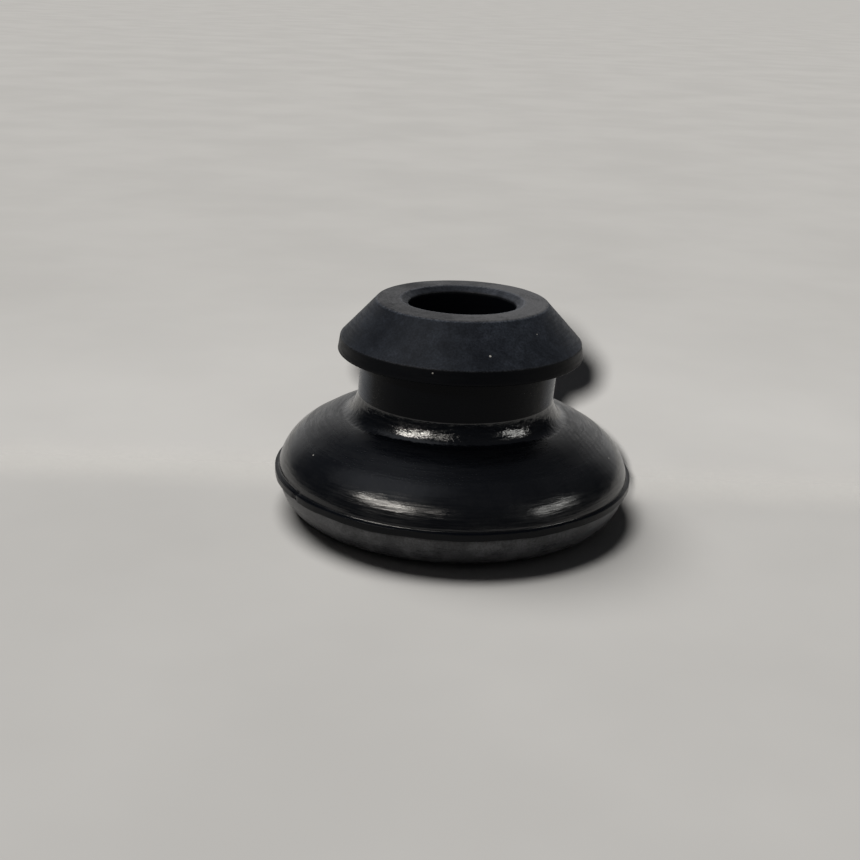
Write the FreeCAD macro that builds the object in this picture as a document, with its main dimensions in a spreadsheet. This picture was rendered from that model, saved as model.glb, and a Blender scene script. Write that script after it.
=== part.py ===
import FreeCAD, Part
import Sketcher
import math
import os

# Air filter housing grommet: one moulded rubber piece, round about +Z, base on Z = 0.
# A wide domed flange carries a narrower neck and a conical head, and the ring groove
# between the dome and the head snaps into a bracket hole. A peg pushes into the bore.
# Lengths are in millimetres and angles in degrees.
SIZES = {
    # Flange: flat foot, rounded lower edge, slightly drafted flank
    "foot_edge_radius": 3.4,
    "flank_draft": 12.0,
    # Parting bead: the thin ring of flash at the widest place, where the mould halves met
    "bead_height": 3.9,
    "bead_thickness": 0.75,
    "bead_stand": 0.25,
    "bead_edge_break": 0.12,
    # Dome: convex shoulder, straight slope, concave flare that ends in a crease at the neck
    "dome_radius": 17.25,
    "shoulder_radius": 5.5,
    "slope_angle": 31.0,
    "flare_radius": 4.6,
    "flare_angle": 30.0,
    # Ring groove that grips the bracket
    "neck_radius": 9.5,
    "groove_bottom": 11.65,
    "groove_width": 4.15,
    # Head: rim band, conical lead-in face and flat land round the bore's mouth
    "rim_radius": 11.8,
    "rim_thickness": 1.4,
    "rim_draft": 9.0,
    "rim_edge_break": 0.22,
    "cone_height": 3.7,
    "land_radius": 8.1,
    "land_edge_radius": 0.35,
    # Bore for the peg, with a shallow flared mouth at both ends
    "bore_radius": 5.1,
    "mouth_flare": 0.75,
    "mouth_depth": 0.45,
}


def make_sheet(document):
    """The driving sizes as a spreadsheet with one alias for each."""
    sheet = document.addObject("Spreadsheet::Sheet", "sizes")
    for row, (name, value) in enumerate(SIZES.items(), start=1):
        sheet.set(f"A{row}", name)
        sheet.set(f"B{row}", str(value))
        sheet.setAlias(f"B{row}", name)
    document.recompute()
    return sheet


def section_sketch(body, name):
    """A sketch on the body's own XZ plane: across is the radius, up is the height."""
    plane = next(item for item in body.Origin.OriginFeatures if item.Role == "XZ_Plane")
    sketch = body.newObject("Sketcher::SketchObject", name)
    sketch.AttachmentSupport = [(plane, "")]
    sketch.MapMode = "FlatFace"
    return sketch


def point(radius, height):
    return FreeCAD.Vector(radius, height, 0)


def line(sketch, start, end):
    return sketch.addGeometry(Part.LineSegment(start, end), False)


def arc(sketch, centre, radius, start_degrees, end_degrees):
    """An arc that runs anticlockwise from the first angle to the second."""
    circle = Part.Circle(centre, FreeCAD.Vector(0, 0, 1), radius)
    start = math.radians(start_degrees)
    end = math.radians(end_degrees)
    return sketch.addGeometry(Part.ArcOfCircle(circle, start, end), False)


def relate(sketch, kind, *places):
    sketch.addConstraint(Sketcher.Constraint(kind, *places))


def size(sketch, kind, name, formula, start_value, *places):
    """A named measure of the sketch that follows a formula of the sheet's sizes."""
    index = sketch.addConstraint(Sketcher.Constraint(kind, *places, start_value))
    sketch.renameConstraint(index, name)
    sketch.setExpression(f"Constraints.{name}", formula)


def revolve(body, kind, name, sketch):
    feature = body.newObject(kind, name)
    feature.Profile = sketch
    feature.ReferenceAxis = (sketch, ["V_Axis"])
    feature.Angle = 360.0
    return feature


# Ends of a sketch element, and the sketch's own origin and axes
START, END, CENTRE = range(1, 4)
ORIGIN = (-1, 1)
UPRIGHT_AXIS = -2


def flange_start_points(s):
    """Where the flange's section lies, so that the sketch starts out solved."""
    draft = math.radians(s["flank_draft"])
    slope = math.radians(s["slope_angle"])
    flare = math.radians(s["flare_angle"])
    flare_centre = point(
        s["neck_radius"] + s["flare_radius"] * math.cos(flare),
        s["groove_bottom"] + s["flare_radius"] * math.sin(flare),
    )
    slope_top = point(
        flare_centre.x - s["flare_radius"] * math.sin(slope),
        flare_centre.y - s["flare_radius"] * math.cos(slope),
    )
    shoulder_x = s["dome_radius"] - s["shoulder_radius"]
    slope_foot_x = shoulder_x + s["shoulder_radius"] * math.sin(slope)
    slope_foot = point(
        slope_foot_x, slope_top.y - (slope_foot_x - slope_top.x) * math.tan(slope)
    )
    shoulder_centre = point(
        shoulder_x, slope_foot.y - s["shoulder_radius"] * math.cos(slope)
    )
    seam_angle = math.asin((s["bead_height"] - shoulder_centre.y) / s["shoulder_radius"])
    seam = point(
        shoulder_x + s["shoulder_radius"] * math.cos(seam_angle), s["bead_height"]
    )
    flank_foot_y = s["foot_edge_radius"] * (1 - math.sin(draft))
    flank_foot = point(seam.x - (seam.y - flank_foot_y) * math.tan(draft), flank_foot_y)
    foot_centre = point(
        flank_foot.x - s["foot_edge_radius"] * math.cos(draft), s["foot_edge_radius"]
    )
    return {
        "flare_centre": flare_centre,
        "slope_top": slope_top,
        "slope_foot": slope_foot,
        "shoulder_centre": shoulder_centre,
        "seam": seam,
        "seam_angle": math.degrees(seam_angle),
        "flank_foot": flank_foot,
        "foot_centre": foot_centre,
    }


def make_flange(body):
    """Foot, flank, dome and the flare that runs up to the neck."""
    s = SIZES
    at = flange_start_points(s)
    sketch = section_sketch(body, "flange_section")
    top = s["groove_bottom"]
    axis = line(sketch, point(0, top), point(0, 0))
    foot = line(sketch, point(0, 0), point(at["foot_centre"].x, 0))
    foot_edge = arc(sketch, at["foot_centre"], s["foot_edge_radius"], -90, -s["flank_draft"])
    flank = line(sketch, at["flank_foot"], at["seam"])
    shoulder = arc(
        sketch, at["shoulder_centre"], s["shoulder_radius"],
        at["seam_angle"], 90 - s["slope_angle"],
    )
    slope = line(sketch, at["slope_foot"], at["slope_top"])
    flare = arc(
        sketch, at["flare_centre"], s["flare_radius"],
        180 + s["flare_angle"], 270 - s["slope_angle"],
    )
    cap = line(sketch, point(s["neck_radius"], top), point(0, top))

    relate(sketch, "Coincident", axis, END, *ORIGIN)
    relate(sketch, "Coincident", foot, START, axis, END)
    relate(sketch, "Tangent", foot_edge, START, foot, END)
    relate(sketch, "Tangent", foot_edge, END, flank, START)
    relate(sketch, "Coincident", flank, END, shoulder, START)
    relate(sketch, "Tangent", slope, START, shoulder, END)
    relate(sketch, "Tangent", slope, END, flare, END)
    relate(sketch, "Coincident", flare, START, cap, START)
    relate(sketch, "Coincident", cap, END, axis, START)
    relate(sketch, "Vertical", axis)
    relate(sketch, "Horizontal", foot)
    relate(sketch, "Horizontal", cap)

    draft_from_base = math.radians(90 - s["flank_draft"])
    size(sketch, "Radius", "foot_edge", "sizes.foot_edge_radius", s["foot_edge_radius"], foot_edge)
    size(sketch, "Angle", "flank_slant", "90 deg - sizes.flank_draft * 1 deg", draft_from_base, flank)
    size(sketch, "DistanceY", "seam_height", "sizes.bead_height", s["bead_height"], *ORIGIN, flank, END)
    size(sketch, "Radius", "shoulder", "sizes.shoulder_radius", s["shoulder_radius"], shoulder)
    size(
        sketch, "DistanceX", "shoulder_reach", "sizes.dome_radius - sizes.shoulder_radius",
        at["shoulder_centre"].x, *ORIGIN, shoulder, CENTRE,
    )
    size(
        sketch, "Angle", "slope_slant", "180 deg - sizes.slope_angle * 1 deg",
        math.radians(180 - s["slope_angle"]), slope,
    )
    size(sketch, "Radius", "flare", "sizes.flare_radius", s["flare_radius"], flare)
    size(
        sketch, "DistanceX", "flare_reach", "sizes.flare_radius * cos(sizes.flare_angle * 1 deg)",
        at["flare_centre"].x - s["neck_radius"], flare, START, flare, CENTRE,
    )
    size(sketch, "DistanceX", "neck", "sizes.neck_radius", s["neck_radius"], *ORIGIN, cap, START)
    size(sketch, "DistanceY", "crease_height", "sizes.groove_bottom", top, *ORIGIN, cap, START)
    return revolve(body, "PartDesign::Revolution", "flange", sketch)


def closed_section(body, name, corners):
    """A closed section of straight lines through the corners, joined end to end."""
    sketch = section_sketch(body, name)
    lines = []
    for here, after in zip(corners, corners[1:] + corners[:1]):
        lines.append(line(sketch, point(*here), point(*after)))
    for here, after in zip(lines, lines[1:] + lines[:1]):
        relate(sketch, "Coincident", here, END, after, START)
    return sketch, lines


def make_bead(body):
    """The parting bead, a square ring sunk into the flange and proud of it."""
    s = SIZES
    low = s["bead_height"] - s["bead_thickness"] / 2
    high = low + s["bead_thickness"]
    inner = s["neck_radius"]
    outer = s["dome_radius"] + s["bead_stand"]
    corners = [(inner, low), (outer, low), (outer, high), (inner, high)]
    sketch, (under, face, over, root) = closed_section(body, "bead_section", corners)
    relate(sketch, "Horizontal", under)
    relate(sketch, "Vertical", face)
    relate(sketch, "Horizontal", over)
    relate(sketch, "Vertical", root)
    size(
        sketch, "DistanceY", "bead_low", "sizes.bead_height - sizes.bead_thickness / 2",
        low, *ORIGIN, under, START,
    )
    size(
        sketch, "DistanceY", "bead_depth", "sizes.bead_thickness",
        s["bead_thickness"], face, START, face, END,
    )
    size(sketch, "DistanceX", "bead_root", "sizes.neck_radius", inner, *ORIGIN, under, START)
    size(
        sketch, "DistanceX", "bead_reach", "sizes.dome_radius + sizes.bead_stand",
        outer, *ORIGIN, under, END,
    )
    return revolve(body, "PartDesign::Revolution", "parting_bead", sketch)


def make_head(body):
    """Neck, rim band, cone and land, standing on the flange."""
    s = SIZES
    foot = s["groove_bottom"]
    under = foot + s["groove_width"]
    band_top = under + s["rim_thickness"]
    land = band_top + s["cone_height"]
    rim_top = s["rim_radius"] - s["rim_thickness"] * math.tan(math.radians(s["rim_draft"]))
    corners = [
        (0, foot), (s["neck_radius"], foot), (s["neck_radius"], under),
        (s["rim_radius"], under), (rim_top, band_top), (s["land_radius"], land), (0, land),
    ]
    sketch, lines = closed_section(body, "head_section", corners)
    seat, neck, ledge, band, cone, face, axis = lines
    relate(sketch, "PointOnObject", axis, START, UPRIGHT_AXIS)
    relate(sketch, "Vertical", axis)
    relate(sketch, "Horizontal", seat)
    relate(sketch, "Vertical", neck)
    relate(sketch, "Horizontal", ledge)
    relate(sketch, "Horizontal", face)
    size(sketch, "DistanceY", "neck_foot", "sizes.groove_bottom", foot, *ORIGIN, seat, START)
    size(sketch, "DistanceX", "neck", "sizes.neck_radius", s["neck_radius"], *ORIGIN, seat, END)
    size(sketch, "DistanceY", "groove", "sizes.groove_width", s["groove_width"], neck, START, neck, END)
    size(sketch, "DistanceX", "rim", "sizes.rim_radius", s["rim_radius"], *ORIGIN, ledge, END)
    size(sketch, "DistanceY", "band", "sizes.rim_thickness", s["rim_thickness"], band, START, band, END)
    size(
        sketch, "Angle", "band_slant", "90 deg + sizes.rim_draft * 1 deg",
        math.radians(90 + s["rim_draft"]), band,
    )
    size(sketch, "DistanceY", "cone", "sizes.cone_height", s["cone_height"], cone, START, cone, END)
    size(sketch, "DistanceX", "land", "sizes.land_radius", s["land_radius"], *ORIGIN, face, START)
    return revolve(body, "PartDesign::Revolution", "head", sketch)


def make_bore(body):
    """The peg bore with a flared mouth at the foot and at the land."""
    s = SIZES
    height = s["groove_bottom"] + s["groove_width"] + s["rim_thickness"] + s["cone_height"]
    height_formula = (
        "sizes.groove_bottom + sizes.groove_width + sizes.rim_thickness + sizes.cone_height"
    )
    wall = s["bore_radius"]
    mouth = wall + s["mouth_flare"]
    corners = [
        (0, 0), (mouth, 0), (wall, s["mouth_depth"]),
        (wall, height - s["mouth_depth"]), (mouth, height), (0, height),
    ]
    sketch, lines = closed_section(body, "bore_section", corners)
    bottom, lower_flare, side, upper_flare, top, axis = lines
    relate(sketch, "Coincident", bottom, START, *ORIGIN)
    relate(sketch, "Horizontal", bottom)
    relate(sketch, "Vertical", side)
    relate(sketch, "Horizontal", top)
    relate(sketch, "Vertical", axis)
    size(sketch, "DistanceX", "wall", "sizes.bore_radius", wall, *ORIGIN, side, START)
    size(
        sketch, "DistanceX", "lower_flare", "sizes.mouth_flare", s["mouth_flare"],
        lower_flare, END, lower_flare, START,
    )
    size(
        sketch, "DistanceX", "upper_flare", "sizes.mouth_flare", s["mouth_flare"],
        upper_flare, START, upper_flare, END,
    )
    size(
        sketch, "DistanceY", "lower_depth", "sizes.mouth_depth", s["mouth_depth"],
        lower_flare, START, lower_flare, END,
    )
    size(
        sketch, "DistanceY", "upper_depth", "sizes.mouth_depth", s["mouth_depth"],
        upper_flare, START, upper_flare, END,
    )
    size(sketch, "DistanceY", "full_height", height_formula, height, *ORIGIN, top, START)
    return revolve(body, "PartDesign::Groove", "peg_bore", sketch)


def circle_edges(shape, radius, height):
    """Names of the round edges about the axis with this radius at this height."""
    names = []
    for number, edge in enumerate(shape.Edges, start=1):
        curve = edge.Curve
        if not isinstance(curve, Part.Circle):
            continue
        near = 1e-4
        if abs(curve.Radius - radius) < near and abs(curve.Center.z - height) < near:
            names.append(f"Edge{number}")
    return names


def soften(document, body, base, kind, name, places, formula):
    """A fillet or chamfer on the round edges at these radii and heights."""
    document.recompute()
    names = []
    for radius, height in places:
        found = circle_edges(base.Shape, radius, height)
        if not found:
            raise RuntimeError(f"{name}: no edge of radius {radius} at height {height}")
        names += found
    feature = body.newObject(f"PartDesign::{kind}", name)
    feature.Base = (base, names)
    measure = {"Fillet": "Radius", "Chamfer": "Size"}[kind]
    feature.setExpression(measure, formula)
    return feature


def make_soft_edges(document, body, base):
    """Soft edges as they leave the mould, each at most half of the wall that carries it."""
    s = SIZES
    ledge = s["groove_bottom"] + s["groove_width"]
    land = ledge + s["rim_thickness"] + s["cone_height"]
    bead_reach = s["dome_radius"] + s["bead_stand"]
    bead_low = s["bead_height"] - s["bead_thickness"] / 2
    bead_high = bead_low + s["bead_thickness"]
    bead = soften(
        document, body, base, "Chamfer", "bead_edges",
        [(bead_reach, bead_low), (bead_reach, bead_high)],
        "min(sizes.bead_edge_break; sizes.bead_thickness / 2)",
    )
    rim = soften(
        document, body, bead, "Chamfer", "rim_edge", [(s["rim_radius"], ledge)],
        "min(sizes.rim_edge_break; (sizes.rim_radius - sizes.neck_radius) / 2)",
    )
    return soften(
        document, body, rim, "Fillet", "land_edge", [(s["land_radius"], land)],
        "min(sizes.land_edge_radius;"
        " (sizes.land_radius - sizes.bore_radius - sizes.mouth_flare) / 2)",
    )


def check(document, body):
    """Stop if any feature failed or the piece isn't one sound solid."""
    for item in document.Objects:
        if "Invalid" in item.State or "Error" in item.State:
            raise RuntimeError(f"{item.Name} is in state {item.State}")
    shape = body.Shape
    if shape.isNull() or not shape.isValid() or len(shape.Solids) != 1:
        raise RuntimeError(f"{body.Label} isn't one valid solid")


def main():
    document = FreeCAD.newDocument("air_filter_housing_grommet")
    make_sheet(document)
    body = document.addObject("PartDesign::Body", "grommet")
    body.Label = "grommet"
    body.Placement = FreeCAD.Placement()
    make_flange(body)
    make_bead(body)
    head = make_head(body)
    document.recompute()
    uncut = head.Shape.Volume
    bore = make_bore(body)
    document.recompute()
    if bore.Shape.Volume >= uncut:
        raise RuntimeError("peg_bore cuts nothing")
    body.Tip = make_soft_edges(document, body, bore)
    document.recompute()
    check(document, body)
    os.makedirs("parts", exist_ok=True)
    body.Shape.exportStep("parts/grommet.step")
    print("grommet", "volume", round(body.Shape.Volume, 1), "box", body.Shape.BoundBox)


main()
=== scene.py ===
import math

import bpy
from mathutils import Matrix, Vector, noise


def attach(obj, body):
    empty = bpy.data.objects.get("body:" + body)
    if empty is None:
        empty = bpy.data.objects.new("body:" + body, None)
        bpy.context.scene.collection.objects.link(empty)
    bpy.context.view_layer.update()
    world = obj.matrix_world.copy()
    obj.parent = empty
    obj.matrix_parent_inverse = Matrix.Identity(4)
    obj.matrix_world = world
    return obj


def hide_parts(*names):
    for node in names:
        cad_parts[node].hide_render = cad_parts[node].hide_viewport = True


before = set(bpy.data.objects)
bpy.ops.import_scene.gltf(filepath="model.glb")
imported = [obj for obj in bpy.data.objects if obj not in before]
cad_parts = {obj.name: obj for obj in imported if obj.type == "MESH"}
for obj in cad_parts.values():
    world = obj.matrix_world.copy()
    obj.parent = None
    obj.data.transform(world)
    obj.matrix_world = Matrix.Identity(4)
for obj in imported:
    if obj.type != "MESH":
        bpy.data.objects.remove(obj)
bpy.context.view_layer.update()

MM = 0.001

# The moulded section, in millimetres: the sizes of the solid, apart from what lies above the slope
FOOT_EDGE = 3.4
FOOT_EDGE_CENTRE = (13.624, FOOT_EDGE)
FLANK_DRAFT = 12.0
BEAD_LOW, BEAD_HIGH, BEAD_REACH = 3.525, 4.275, 17.5
FLANK_TOP = (17.127, BEAD_LOW)
BEAD_ROOT = (17.146, BEAD_HIGH)
SHOULDER_CENTRE, SHOULDER_RADIUS = (11.75, 3.2044), 5.5
SLOPE_ANGLE = 31.0
# Above the slope the dome rolls over to a shallow shelf, bends up tightly and flares to the neck.
# Each arc has its centre, its radius and the angles where it starts and ends.
CROWN = (9.6975, 2.6877), 7.0, 59.0, 80.0
BEND = (11.1214, 10.7631), 1.2, 260.0, 211.0
FLARE = (14.2929, 12.6688), 4.9, 211.0, 192.0
NECK, CREASE, LEDGE = 9.5, 11.65, 15.8
RIM, RIM_TOP, RIM_TOP_HEIGHT = 11.8, 11.578, 17.2
LAND, TOP = 8.1, 20.9
BORE, MOUTH, MOUTH_DEPTH = 5.1, 5.85, 0.45
AROUND = 384  # points round a turn

# Radii that soften its edges
BEAD_EDGE, NECK_EDGE, RIM_EDGE, BAND_EDGE = 0.1, 0.22, 0.2, 0.16
LAND_EDGE, MOUTH_EDGE, THROAT_EDGE = 0.34, 0.14, 0.2

# How far the surface strays from the section, in millimetres. It stays inside the solid's outline.
SWELL, SWELL_INWARD, FINE_SWELL = 0.022, 0.02, 0.006
BEAD_INWARD, BEAD_WAVE, BEAD_RIPPLE, BEAD_RISE = 0.03, 0.035, 0.02, 0.05
NICK_DEPTH, CREVICE_DEPTH = 0.16, 0.09
MOUTH_RAGGED, MOUTH_INWARD = 0.05, 0.01
HEAD_LEAN = 0.3

PAPER = (0.515, 0.50, 0.475)  # the pale paper that the part stands on

# Where small marks of use and moulding lie: degrees round from the front, positive to the right
NICK_AZIMUTH, NICK_WIDTH = -56.9, 1.1
SPECKS = [  # azimuth, height, radius, size
    (13.4, 18.32, 10.52, 0.10), (-12.9, 16.88, 11.63, 0.07), (45.7, 19.50, 9.41, 0.06),
    (84.0, 19.10, 9.85, 0.05), (-59.1, 7.47, 15.22, 0.07), (71.6, 7.22, 15.52, 0.09),
]


def smooth(value, low, high):
    """0 below low, 1 above high, and a soft step between."""
    t = min(max((value - low) / (high - low), 0.0), 1.0)
    return t * t * (3 - 2 * t)


def head_lean(height):
    """How far the soft neck lets this height sit to the right, in millimetres."""
    return HEAD_LEAN * smooth(height, CREASE - 0.65, LEDGE + 0.7)


def line(a, b, step):
    """Points on a straight run, about this far apart."""
    count = max(1, round(math.dist(a, b) / step))
    (ar, az), (br, bz) = a, b
    return [(ar + (br - ar) * i / count, az + (bz - az) * i / count) for i in range(count + 1)]


def arc(centre, radius, start, end, step):
    """Points on an arc between two angles in degrees, about this far apart."""
    count = max(2, round(abs(math.radians(end - start)) * radius / step))
    angles = [math.radians(start + (end - start) * i / count) for i in range(count + 1)]
    return [(centre[0] + radius * math.cos(a), centre[1] + radius * math.sin(a)) for a in angles]


def corner(before, at, after, radius, count=4):
    """A rounded corner of this radius between two straight runs."""
    a = (Vector(before) - Vector(at)).normalized()
    b = (Vector(after) - Vector(at)).normalized()
    half = math.acos(max(-1.0, min(1.0, a.dot(b)))) / 2
    reach = radius / math.tan(half)
    centre = Vector(at) + (a + b).normalized() * radius / math.sin(half)
    first = Vector(at) + a * reach - centre
    last = Vector(at) + b * reach - centre
    turn = first.angle_signed(last)
    points = []
    for i in range(count + 1):
        swing = Matrix.Rotation(-turn * i / count, 2)
        points.append(tuple(centre + swing @ first))
    return points


def section():
    """The closed section as zones of points: foot, flange, neck, head, bore and back to the foot."""
    seam = math.degrees(math.asin((BEAD_HIGH - SHOULDER_CENTRE[1]) / SHOULDER_RADIUS))
    shoulder = arc(SHOULDER_CENTRE, SHOULDER_RADIUS, seam, 90 - SLOPE_ANGLE, 0.15)
    crown, bend, flare = arc(*CROWN, 0.14), arc(*BEND, 0.07), arc(*FLARE, 0.12)
    foot_edge = arc(FOOT_EDGE_CENTRE, FOOT_EDGE, -90, -FLANK_DRAFT, 0.22)
    neck_low, neck_high = (NECK, CREASE), (NECK, LEDGE)
    rim_low, rim_high = (RIM, LEDGE), (RIM_TOP, RIM_TOP_HEIGHT)
    land_out, land_in = (LAND, TOP), (MOUTH, TOP)
    throat = (BORE, TOP - MOUTH_DEPTH)
    bore_foot, mouth_foot = (BORE, MOUTH_DEPTH), (MOUTH, 0.0)
    bead_low, bead_high = (BEAD_REACH, BEAD_LOW), (BEAD_REACH, BEAD_HIGH)
    neck_corner = corner(neck_low, neck_high, rim_low, NECK_EDGE)
    rim_corner = corner(neck_high, rim_low, rim_high, RIM_EDGE)
    band_corner = corner(rim_low, rim_high, land_out, BAND_EDGE)
    land_corner = corner(rim_high, land_out, land_in, LAND_EDGE, 6)
    mouth_corner = corner(land_out, land_in, throat, MOUTH_EDGE)
    throat_corner = corner(land_in, throat, bore_foot, THROAT_EDGE)
    bead_under = corner(FLANK_TOP, bead_low, bead_high, BEAD_EDGE)
    bead_over = corner(bead_low, bead_high, BEAD_ROOT, BEAD_EDGE)
    bead_face = line(bead_under[-1], bead_over[0], 0.12)
    bead_in, bead_out = line(bead_over[-1], BEAD_ROOT, 0.07), line(FLANK_TOP, bead_under[0], 0.1)
    zones = [
        ("foot", line(mouth_foot, (FOOT_EDGE_CENTRE[0], 0.0), 0.6)),
        ("foot_edge", foot_edge),
        ("flank", line(foot_edge[-1], FLANK_TOP, 0.14)),
        ("bead", bead_out + bead_under + bead_face + bead_over + bead_in),
        ("shoulder", shoulder),
        ("slope", line(shoulder[-1], crown[0], 0.15) + crown),
        ("flare", bend + flare),
        ("neck", line(neck_low, neck_corner[0], 0.25) + neck_corner),
        ("ledge", line(neck_corner[-1], rim_corner[0], 0.3) + rim_corner),
        ("band", line(rim_corner[-1], band_corner[0], 0.15) + band_corner),
        ("cone", line(band_corner[-1], land_corner[0], 0.16)),
        ("land", land_corner + line(land_corner[-1], mouth_corner[0], 0.14)),
        ("mouth", mouth_corner + line(mouth_corner[-1], throat_corner[0], 0.12) + throat_corner),
        ("bore", line(throat_corner[-1], bore_foot, 0.9)),
        ("lower_mouth", line(bore_foot, mouth_foot, 0.2)),
    ]
    return zones


def section_points():
    """Points without repeats, each with its zone and its distance along the section.

    The second result says where each zone starts and ends.
    """
    same = 0.002
    points, spans, run = [], {}, 0.0
    for name, zone in section():
        start = run
        for p in zone:
            if points and math.dist(points[-1][0], p) < same:
                continue
            if points:
                run += math.dist(points[-1][0], p)
            points.append((p, name, run))
        spans[name] = (start, run)
    points.pop()  # the last point is the first one again
    return points, spans


POINTS, SPANS = section_points()
LENGTH = SPANS["lower_mouth"][1]


def across(azimuth):
    """A unit direction for an azimuth in degrees from the front, positive to the right."""
    a = math.radians(azimuth)
    return math.sin(a), -math.cos(a)


def make_grommet():
    """The section turned round the axis, with what a moulding has: a faint swell, an uneven bead and a nick."""
    count = len(POINTS)
    normals = []
    for i in range(count):
        before, after = POINTS[i - 1][0], POINTS[(i + 1) % count][0]
        t = Vector((after[0] - before[0], after[1] - before[1])).normalized()
        normals.append((t.y, -t.x))
    corners, along = [], []
    for k in range(AROUND):
        turn = 2 * math.pi * k / AROUND
        azimuth = math.degrees(turn)
        azimuth = azimuth - 360 if azimuth > 180 else azimuth
        ux, uy = across(azimuth)
        wave = noise.noise(Vector((ux * 3.2, uy * 3.2, 4.0)))
        ripple = noise.noise(Vector((ux * 13, uy * 13, 9.0)))
        nick = math.exp(-((azimuth - NICK_AZIMUTH) / NICK_WIDTH) ** 2)
        crevice = smooth(-azimuth, 28, 55) * (1 - smooth(-azimuth, 128, 150))
        for (p, zone, run), n in zip(POINTS, normals):
            r, z = p
            x, y = ux * r, uy * r
            swell = 0.0
            if zone not in ("foot", "bore", "lower_mouth"):
                swell = SWELL * noise.noise(Vector((x * 0.22, y * 0.22, z * 0.3))) - SWELL_INWARD
                swell += FINE_SWELL * noise.noise(Vector((x * 0.9, y * 0.9, z * 0.9)))
            if zone == "bead":
                swell -= BEAD_INWARD + BEAD_WAVE * wave + BEAD_RIPPLE * ripple + NICK_DEPTH * nick
                z += BEAD_RISE * wave + BEAD_RIPPLE * ripple
            if zone == "shoulder":
                swell -= crevice * CREVICE_DEPTH * (1 - smooth(z, 4.3, 4.85))
            if zone == "mouth":
                ragged = max(0.0, noise.noise(Vector((ux * 9, uy * 9, z * 2))))
                swell -= MOUTH_RAGGED * ragged + MOUTH_INWARD
            r += n[0] * swell
            z += n[1] * swell
            corners.append(((ux * r + head_lean(z)) * MM, uy * r * MM, max(z, 0.0) * MM))
            along.append(run)
    faces = []
    for k in range(AROUND):
        here, after = k * count, (k + 1) % AROUND * count
        for i in range(count):
            j = (i + 1) % count
            faces.append((here + i, here + j, after + j, after + i))
    mesh = bpy.data.meshes.new("grommet_rubber")
    mesh.from_pydata(corners, [], faces)
    mesh.attributes.new("section", "FLOAT", "POINT").data.foreach_set("value", along)
    mesh.polygons.foreach_set("use_smooth", [True] * len(faces))
    mesh.update()
    finish_of = {}
    for number, (name, (specular, zones)) in enumerate(FINISHES.items()):
        mesh.materials.append(make_rubber(name, specular))
        finish_of.update({zone: number for zone in zones})
    # A face takes the finish of the point where it ends
    by_point = [finish_of[zone] for p, zone, run in POINTS]
    one_strip = by_point[1:] + by_point[:1]
    mesh.polygons.foreach_set("material_index", one_strip * AROUND)
    piece = bpy.data.objects.new("grommet_rubber", mesh)
    bpy.context.scene.collection.objects.link(piece)
    return piece


# Node helpers: a value is a number, a tuple or another node's output.
def add(tree, kind, inputs=(), **settings):
    made = tree.nodes.new(kind)
    for name, value in settings.items():
        setattr(made, name, value)
    for key, value in dict(inputs).items():
        if isinstance(value, bpy.types.NodeSocket):
            tree.links.new(value, made.inputs[key])
        else:
            made.inputs[key].default_value = value
    return made


def calc(tree, operation, a, b=0.0, c=0.0):
    return add(tree, "ShaderNodeMath", {0: a, 1: b, 2: c}, operation=operation).outputs[0]


def times(tree, first, *others):
    for other in others:
        first = calc(tree, "MULTIPLY", first, other)
    return first


def plus(tree, first, *others):
    for other in others:
        first = calc(tree, "ADD", first, other)
    return first


def measure(tree, operation, a, b=(0.0, 0.0, 0.0)):
    """A number from one or two vectors: a length, a distance or a dot product."""
    return add(tree, "ShaderNodeVectorMath", {0: a, 1: b}, operation=operation).outputs["Value"]


def spread(tree, value, low, high, to_low=0.0, to_high=1.0):
    """The value's way from low to high, as a soft step between the two results."""
    inputs = {"Value": value, "From Min": low, "From Max": high, "To Min": to_low, "To Max": to_high}
    return add(tree, "ShaderNodeMapRange", inputs, interpolation_type="SMOOTHSTEP").outputs[0]


def speckle(tree, vector, scale, detail=2.0, roughness=0.5):
    inputs = {"Vector": vector, "Scale": scale, "Detail": detail, "Roughness": roughness}
    return add(tree, "ShaderNodeTexNoise", inputs).outputs["Fac"]


def blend(tree, factor, a, b):
    made = add(tree, "ShaderNodeMix", {0: factor}, data_type="RGBA")
    for key, value in ((6, a), (7, b)):
        if isinstance(value, bpy.types.NodeSocket):
            tree.links.new(value, made.inputs[key])
        else:
            made.inputs[key].default_value = (*value, 1.0)
    return made.outputs[2]


def by_zone(tree, along, values):
    """A value for each zone of the section, with short soft steps between the zones."""
    ramp = tree.nodes.new("ShaderNodeValToRGB")
    tree.links.new(along, ramp.inputs[0])
    stops = ramp.color_ramp.elements
    wanted = []
    for zone, (start, end) in SPANS.items():
        value = values[zone]
        edge = min(0.1, (end - start) / 4)
        wanted.append(((start + edge) / LENGTH, value))
        wanted.append(((end - edge) / LENGTH, value))
    stops[0].position, stops[1].position = wanted[0][0], wanted[-1][0]
    for place, value in wanted[1:-1]:
        stops.new(place)
    for stop, (place, value) in zip(stops, wanted):
        stop.position = place
        stop.color = (value, value, value, 1.0)
    return ramp.outputs[0]


def zone_values(default, **given):
    return {zone: given.get(zone, default) for zone in SPANS}


def seen(tree):
    """1 for what the camera sees, directly or mirrored in the part."""
    path = add(tree, "ShaderNodeLightPath").outputs
    mirrored = calc(tree, "MAXIMUM", path["Is Glossy Ray"], path["Is Transmission Ray"])
    return calc(tree, "MAXIMUM", path["Is Camera Ray"], mirrored)


# The same rubber, more or less polished where the mould was: its specular level and its zones
FINISHES = {
    "rubber_head": (0.2, ("cone", "land", "mouth")),
    "rubber_neck": (0.08, ("neck", "ledge", "band")),
    "rubber_bore": (0.03, ("bore", "lower_mouth")),
    "rubber_flare": (0.6, ("flare",)),
    "rubber_dome": (0.45, ("shoulder", "slope")),
    "rubber_bead": (0.14, ("bead",)),
    "rubber_foot": (0.3, ("foot", "foot_edge", "flank")),
}


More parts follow.
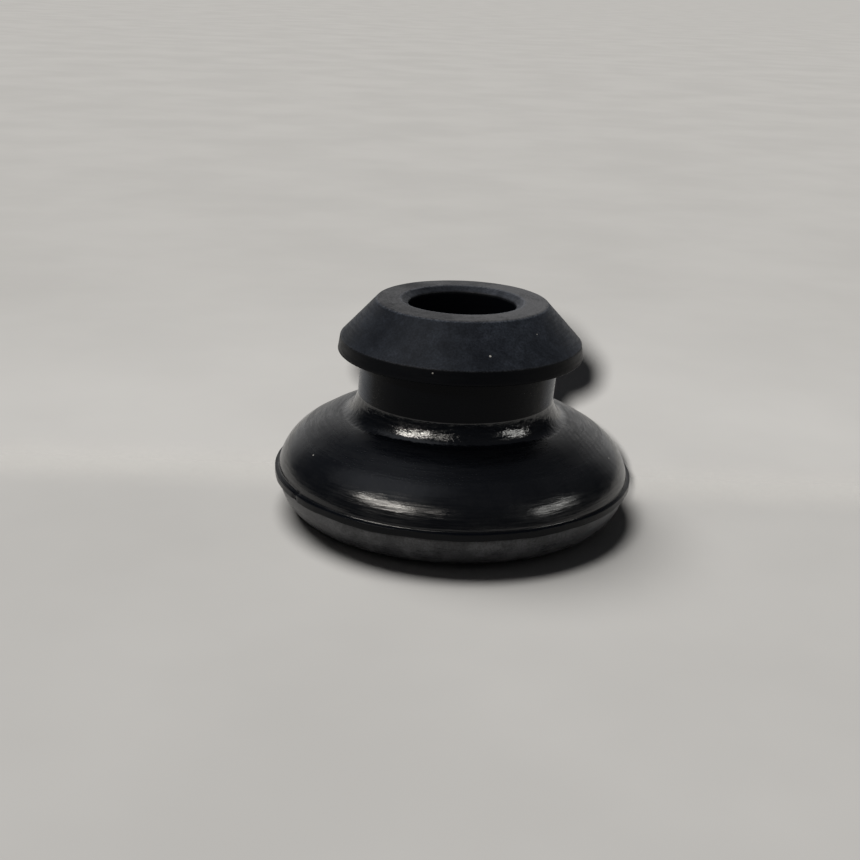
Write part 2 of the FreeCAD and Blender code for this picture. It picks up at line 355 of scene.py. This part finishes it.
# By zone: how much dust or bloom lies there, and where painted light lies, how cool its tint is and how rough
# the rubber is. The land is partly dust and partly painted light, paler where it faces up; on the flank and the
# foot edge the paleness is a painted reflection of the pale floor below.
DUST_AND_PAINTED_LIGHT = zone_values(0.0, land=0.8, cone=0.21, slope=0.008, shoulder=0.045, flank=0.75, foot_edge=0.75,
                   mouth=0.3)
COOL = zone_values(0.2, cone=1.0, neck=1.0, mouth=0.6, land=0.1)
ROUGH = zone_values(0.5, flare=0.14, slope=0.3, shoulder=0.19, bead=0.3, neck=0.22, band=0.4, land=0.6,
                    flank=0.34, foot_edge=0.32)
# By zone: how strong the orange peel, the moulded grain and the turned lines are
PEEL = zone_values(0.15, flare=1.0, slope=0.22, shoulder=0.2, neck=0.3, land=0.1)
GRAINY = zone_values(0.4, land=1.0, cone=0.6, band=0.5, flare=0.05, slope=0.1, shoulder=0.06)
TURNED = zone_values(0.2, slope=0.8, shoulder=0.9, flare=0.2, neck=0.1, cone=0.1)
# Edges made paler, by the zone that starts there; at the band's top edge, where the cone starts, this is a
# painted highlight
PALE_EDGES = {"mouth": 1.0, "land": 0.4, "cone": 0.15}
# Heights of the relief, in millimetres
PEEL_HEIGHT, GRAIN_HEIGHT, TURNED_HEIGHT, MARK_HEIGHT = 0.05, 0.006, 0.017, 0.004

RUBBER = (0.0012, 0.0016, 0.0026)
WARM_DUST_AND_LIGHT, COOL_DUST_AND_LIGHT = (0.070, 0.069, 0.070), (0.056, 0.066, 0.086)
SPECK = (0.34, 0.33, 0.31)


def make_rubber(name, specular):
    """Black rubber with dust, painted light and sheen, paler edges with a painted highlight, specks and fine
    relief, placed in object space.
    """
    material = bpy.data.materials.new(name)
    material.use_nodes = True
    tree = material.node_tree
    shader = tree.nodes["Principled BSDF"]
    place = add(tree, "ShaderNodeTexCoord").outputs["Object"]
    per_mm = (1 / MM, 1 / MM, 1 / MM)
    mm = add(tree, "ShaderNodeVectorMath", {0: place, 1: per_mm}, operation="MULTIPLY").outputs[0]
    parts = add(tree, "ShaderNodeSeparateXYZ", {0: mm}).outputs
    squares = plus(tree, times(tree, parts[0], parts[0]), times(tree, parts[1], parts[1]))
    radius = calc(tree, "SQRT", squares)
    ux = calc(tree, "DIVIDE", parts[0], radius)
    uy = calc(tree, "DIVIDE", parts[1], radius)
    section_mm = add(tree, "ShaderNodeAttribute", attribute_name="section").outputs["Fac"]
    along = calc(tree, "DIVIDE", section_mm, LENGTH)

    def streaks(turns, lines):
        """Noise drawn out round the axis: few changes round a turn, many along the section."""
        drawn = {0: times(tree, ux, turns), 1: times(tree, uy, turns), 2: times(tree, section_mm, lines)}
        vector = add(tree, "ShaderNodeCombineXYZ", drawn).outputs[0]
        return speckle(tree, vector, 1.0, 3.0, 0.6)

    cloud = speckle(tree, mm, 0.32, 4.0, 0.6)
    mottle = speckle(tree, mm, 1.6, 3.0, 0.6)
    grain = speckle(tree, mm, 5.5, 3.0, 0.7)
    fine_streaks = streaks(5.0, 4.2)
    long_streaks = streaks(2.4, 1.6)

    # Colour: near black, cooler on the head, greyer where dust and painted light lie
    dust_and_painted_light = times(
        tree, by_zone(tree, along, DUST_AND_PAINTED_LIGHT),
        # Painted light on the right side and painted shade on the left side
        spread(tree, ux, 0.1, 0.9, 1.0, 1.5),
        spread(tree, ux, -0.8, -0.1, 0.8, 1.0),
        spread(tree, cloud, 0.3, 0.75, 0.5, 1.35),
        spread(tree, mottle, 0.25, 0.8, 0.75, 1.2),
        spread(tree, grain, 0.3, 0.7, 0.6, 1.4))
    # Paler edges; at the band's top edge a painted highlight
    for zone, amount in PALE_EDGES.items():
        off = calc(tree, "ABSOLUTE", calc(tree, "SUBTRACT", section_mm, SPANS[zone][0]))
        patchy = spread(tree, grain, 0.35, 0.65)
        dust_and_painted_light = plus(tree, dust_and_painted_light, times(tree, spread(tree, off, 0.18, 0.03), patchy, amount))
    # Painted sheen on the neck's sides, where they turn away from the front
    neck_sides_sheen = spread(tree, calc(tree, "ABSOLUTE", ux), 0.8, 0.97)
    on_neck = by_zone(tree, along, zone_values(0.0, neck=1.0))
    dust_and_painted_light = plus(tree, dust_and_painted_light, times(tree, neck_sides_sheen, 0.8, on_neck))
    # Fine slanting marks on the dome's right side
    slant = measure(tree, "DOT_PRODUCT", mm, (0.72, 0.1, 0.69))
    marks = calc(tree, "SINE", plus(tree, times(tree, slant, 19.0), times(tree, cloud, 7.0)))
    on_dome = by_zone(tree, along, zone_values(0.0, slope=1.0, shoulder=0.4))
    marked = times(tree, on_dome, spread(tree, ux, 0.8, 0.95), spread(tree, mottle, 0.3, 0.6))
    dust_and_painted_light = plus(tree, dust_and_painted_light, times(tree, marked, spread(tree, marks, 0.0, 1.0, 0.0, 0.35)))
    # The tint of dust and of painted light and sheen
    dust_and_light_tint = blend(tree, by_zone(tree, along, COOL), WARM_DUST_AND_LIGHT, COOL_DUST_AND_LIGHT)
    colour = blend(tree, dust_and_painted_light, RUBBER, dust_and_light_tint)
    spots = None
    for azimuth, height, reach, size in SPECKS:
        sx, sy = across(azimuth)
        away = measure(tree, "DISTANCE", mm, (sx * reach + head_lean(height), sy * reach, height))
        spot = spread(tree, away, size * 1.25, size * 0.75)
        spots = spot if spots is None else calc(tree, "MAXIMUM", spots, spot)
    colour = blend(tree, spots, colour, SPECK)
    tree.links.new(colour, shader.inputs["Base Color"])

    # Gloss: mirror-like flare, satin dome, matte head and land
    rough = plus(
        tree, by_zone(tree, along, ROUGH),
        spread(tree, fine_streaks, 0.35, 0.65, -0.05, 0.06),
        spread(tree, cloud, 0.3, 0.7, -0.02, 0.03))
    tree.links.new(rough, shader.inputs["Roughness"])
    shader.inputs["Specular IOR Level"].default_value = specular

    # Relief: orange peel, moulded grain, turned lines and the slanting marks
    lines = plus(tree, fine_streaks, times(tree, long_streaks, 0.8))
    relief = plus(
        tree, times(tree, mottle, by_zone(tree, along, PEEL), PEEL_HEIGHT),
        times(tree, grain, by_zone(tree, along, GRAINY), GRAIN_HEIGHT),
        times(tree, lines, by_zone(tree, along, TURNED), TURNED_HEIGHT),
        times(tree, marks, marked, MARK_HEIGHT))
    bump = add(tree, "ShaderNodeBump", {"Height": relief, "Distance": MM})
    tree.links.new(bump.outputs[0], shader.inputs["Normal"])
    return material


def make_sheet(name, height, front):
    """A sheet of pale paper. The front one fades out behind the part, where the back one shows."""
    mesh = bpy.data.meshes.new(name)
    reach, z = 4.0, height * MM
    corners = [(-reach, -reach, z), (reach, -reach, z), (reach, reach, z), (-reach, reach, z)]
    mesh.from_pydata(corners, [], [(0, 1, 2, 3)])
    sheet = bpy.data.objects.new(name, mesh)
    bpy.context.scene.collection.objects.link(sheet)
    material = bpy.data.materials.new(name)
    material.use_nodes = True
    tree = material.node_tree
    shader = tree.nodes["Principled BSDF"]
    shader.inputs["Roughness"].default_value = 0.9
    shader.inputs["Specular IOR Level"].default_value = 0.1
    place = add(tree, "ShaderNodeTexCoord").outputs["Object"]
    cloud = spread(tree, speckle(tree, place, 26.0, 4.0, 0.55), 0.3, 0.7)
    colour = blend(tree, cloud, tuple(0.965 * c for c in PAPER), tuple(1.03 * c for c in PAPER))
    tree.links.new(colour, shader.inputs["Base Color"])
    # Round the part the paper is lit and shadowed, and further off it is an even background
    away = measure(tree, "LENGTH", place)
    far = times(tree, spread(tree, away, 0.055, 0.11), seen(tree))
    even = add(tree, "ShaderNodeEmission", {"Color": colour})
    paper = add(tree, "ShaderNodeMixShader", {0: far, 1: shader.outputs[0], 2: even.outputs[0]}).outputs[0]
    if front:
        depth = add(tree, "ShaderNodeSeparateXYZ", {0: place}).outputs[1]
        behind = spread(tree, depth, 0.0, 0.016)
        clear = add(tree, "ShaderNodeBsdfTransparent").outputs[0]
        paper = add(tree, "ShaderNodeMixShader", {0: behind, 1: paper, 2: clear}).outputs[0]
        sheet.visible_shadow = False
    tree.links.new(paper, tree.nodes["Material Output"].inputs[0])
    material.cycles.emission_sampling = "NONE"
    mesh.materials.append(material)
    return sheet


def make_world():
    """A dim room, pale low down at the back and with a soft glow high on the left."""
    world = bpy.data.worlds.new("studio")
    bpy.context.scene.world = world
    world.use_nodes = True
    tree = world.node_tree
    ground = tree.nodes["Background"]
    direction = add(tree, "ShaderNodeTexCoord").outputs["Generated"]
    parts = add(tree, "ShaderNodeSeparateXYZ", {0: direction}).outputs
    front_low, overhead, back_wall = (0.024, 0.026, 0.03), (0.068, 0.072, 0.082), (0.62, 0.615, 0.61)
    glow, glow_direction = (0.46, 0.48, 0.52), (-0.49, -0.17, 0.85)
    behind = times(tree, spread(tree, parts[1], 0.5, 1.0), spread(tree, parts[2], 0.75, 0.3))
    dim = blend(tree, spread(tree, parts[2], 0.1, 0.9), front_low, overhead)
    room = blend(tree, behind, dim, back_wall)
    towards = measure(tree, "DOT_PRODUCT", direction, glow_direction)
    room = blend(tree, spread(tree, towards, 0.82, 1.0), room, glow)
    # The rubber mirrors the room, which adds little to the lamps' light. The camera sees pale paper there.
    fill = (0.024, 0.025, 0.028)
    path = add(tree, "ShaderNodeLightPath").outputs
    room = blend(tree, path["Is Diffuse Ray"], room, fill)
    tree.links.new(blend(tree, path["Is Camera Ray"], room, PAPER), ground.inputs[0])
    world.cycles.sampling_method = "NONE"


def light_only(lamp, *pieces):
    """The lamp lights these pieces alone. Everything still casts its shadow in it."""
    lit = bpy.data.collections.new(lamp.name + "_lights")
    for piece in pieces:
        lit.objects.link(piece)
    lamp.light_linking.receiver_collection = lit


def make_lamps(grommet, back_sheet, front_sheet):
    """Strip lights that the rubber mirrors, a key light behind on the left and a lamp beside the camera."""
    away = 1.2
    key = bpy.data.lights.new("key", "SUN")
    key.energy = 3.35
    key.angle = math.radians(42)
    key_lamp = hang("key", key, -138, 65, away)
    key_lamp.visible_glossy = False
    light_only(key_lamp, grommet, front_sheet)

    # As near as the camera and a little to its upper left, so that its shadow hugs the outline's right side.
    # Its strength grows as the cube of the distance, which lights the flat paper evenly.
    near = bpy.data.lights.new("beside_camera", "POINT")
    near.energy = 2.05
    near.shadow_soft_size = 0.0042
    near.use_nodes = True
    tree = near.node_tree
    plain_distance = 0.14
    ray_length = add(tree, "ShaderNodeLightPath").outputs["Ray Length"]
    reach = calc(tree, "DIVIDE", ray_length, plain_distance)
    tree.links.new(calc(tree, "POWER", reach, 3.0), tree.nodes["Emission"].inputs["Strength"])
    near_lamp = bpy.data.objects.new("beside_camera", near)
    bpy.context.scene.collection.objects.link(near_lamp)
    near_lamp.location = (-0.0088, -0.1183, 0.0568)
    near_lamp.visible_camera = near_lamp.visible_glossy = False
    light_only(near_lamp, back_sheet)

    # Azimuth from the front, elevation, half widths in degrees, strength and colour
    boxes = {
        "left_strip": (-48, 33.0, 16, 1.8, 36.0, (1.0, 0.95, 0.88)),
        "left_strip_end": (-20, 35.0, 12, 1.7, 6.0, (1.0, 0.95, 0.88)),
        "right_strip": (71, 22.5, 13, 2.2, 10.5, (1.0, 0.99, 0.95)),
    }
    for name, (azimuth, elevation, half_wide, half_high, strength, tint) in boxes.items():
        data = bpy.data.lights.new(name, "AREA")
        data.shape = "RECTANGLE"
        data.size = 2 * away * math.tan(math.radians(half_wide))
        data.size_y = 2 * away * math.tan(math.radians(half_high))
        data.energy = strength * math.pi * data.size * data.size_y
        data.color = tint
        light_only(hang(name, data, azimuth, elevation, away), grommet)


def hang(name, data, azimuth, elevation, away):
    """A lamp in this direction from the part, turned to face it with its width level."""
    lamp = bpy.data.objects.new(name, data)
    bpy.context.scene.collection.objects.link(lamp)
    x, y = across(azimuth)
    rise = math.radians(elevation)
    back = Vector((x * math.cos(rise), y * math.cos(rise), math.sin(rise)))
    right = Vector((0, 0, 1)).cross(back).normalized()
    turned = Matrix((right, back.cross(right), back)).transposed().to_4x4()
    lamp.matrix_world = Matrix.Translation(Vector((0, 0, 0.01)) + back * away) @ turned
    lamp.visible_camera = False
    return lamp


def make_camera():
    """The camera fitted to the photographed edges, with distances in millimetres."""
    elevation, roll, distance = math.radians(19.34), math.radians(2.2), 127.1
    target = Vector((-2.327, -0.764, 7.885))
    back = Vector((0.0, -math.cos(elevation), math.sin(elevation)))
    side = Vector((1.0, 0.0, 0.0))
    rise = Vector((0.0, math.sin(elevation), math.cos(elevation)))
    right = side * math.cos(roll) + rise * math.sin(roll)
    up = rise * math.cos(roll) - side * math.sin(roll)
    data = bpy.data.cameras.new("camera")
    data.sensor_width = 36.0
    data.lens = 54.483
    data.clip_start, data.clip_end = 0.01, 20.0
    camera = bpy.data.objects.new("camera", data)
    bpy.context.scene.collection.objects.link(camera)
    place = (target + back * distance) * MM
    turned = Matrix((right, up, back)).transposed().to_4x4()
    camera.matrix_world = Matrix.Translation(place) @ turned
    bpy.context.scene.camera = camera


grommet = make_grommet()
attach(grommet, "root")
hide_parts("grommet")
back_sheet = make_sheet("floor_back", -0.02, front=False)
front_sheet = make_sheet("floor_front", 0.0, front=True)
make_world()
make_lamps(grommet, back_sheet, front_sheet)
make_camera()
bpy.context.scene.view_settings.view_transform = "Standard"
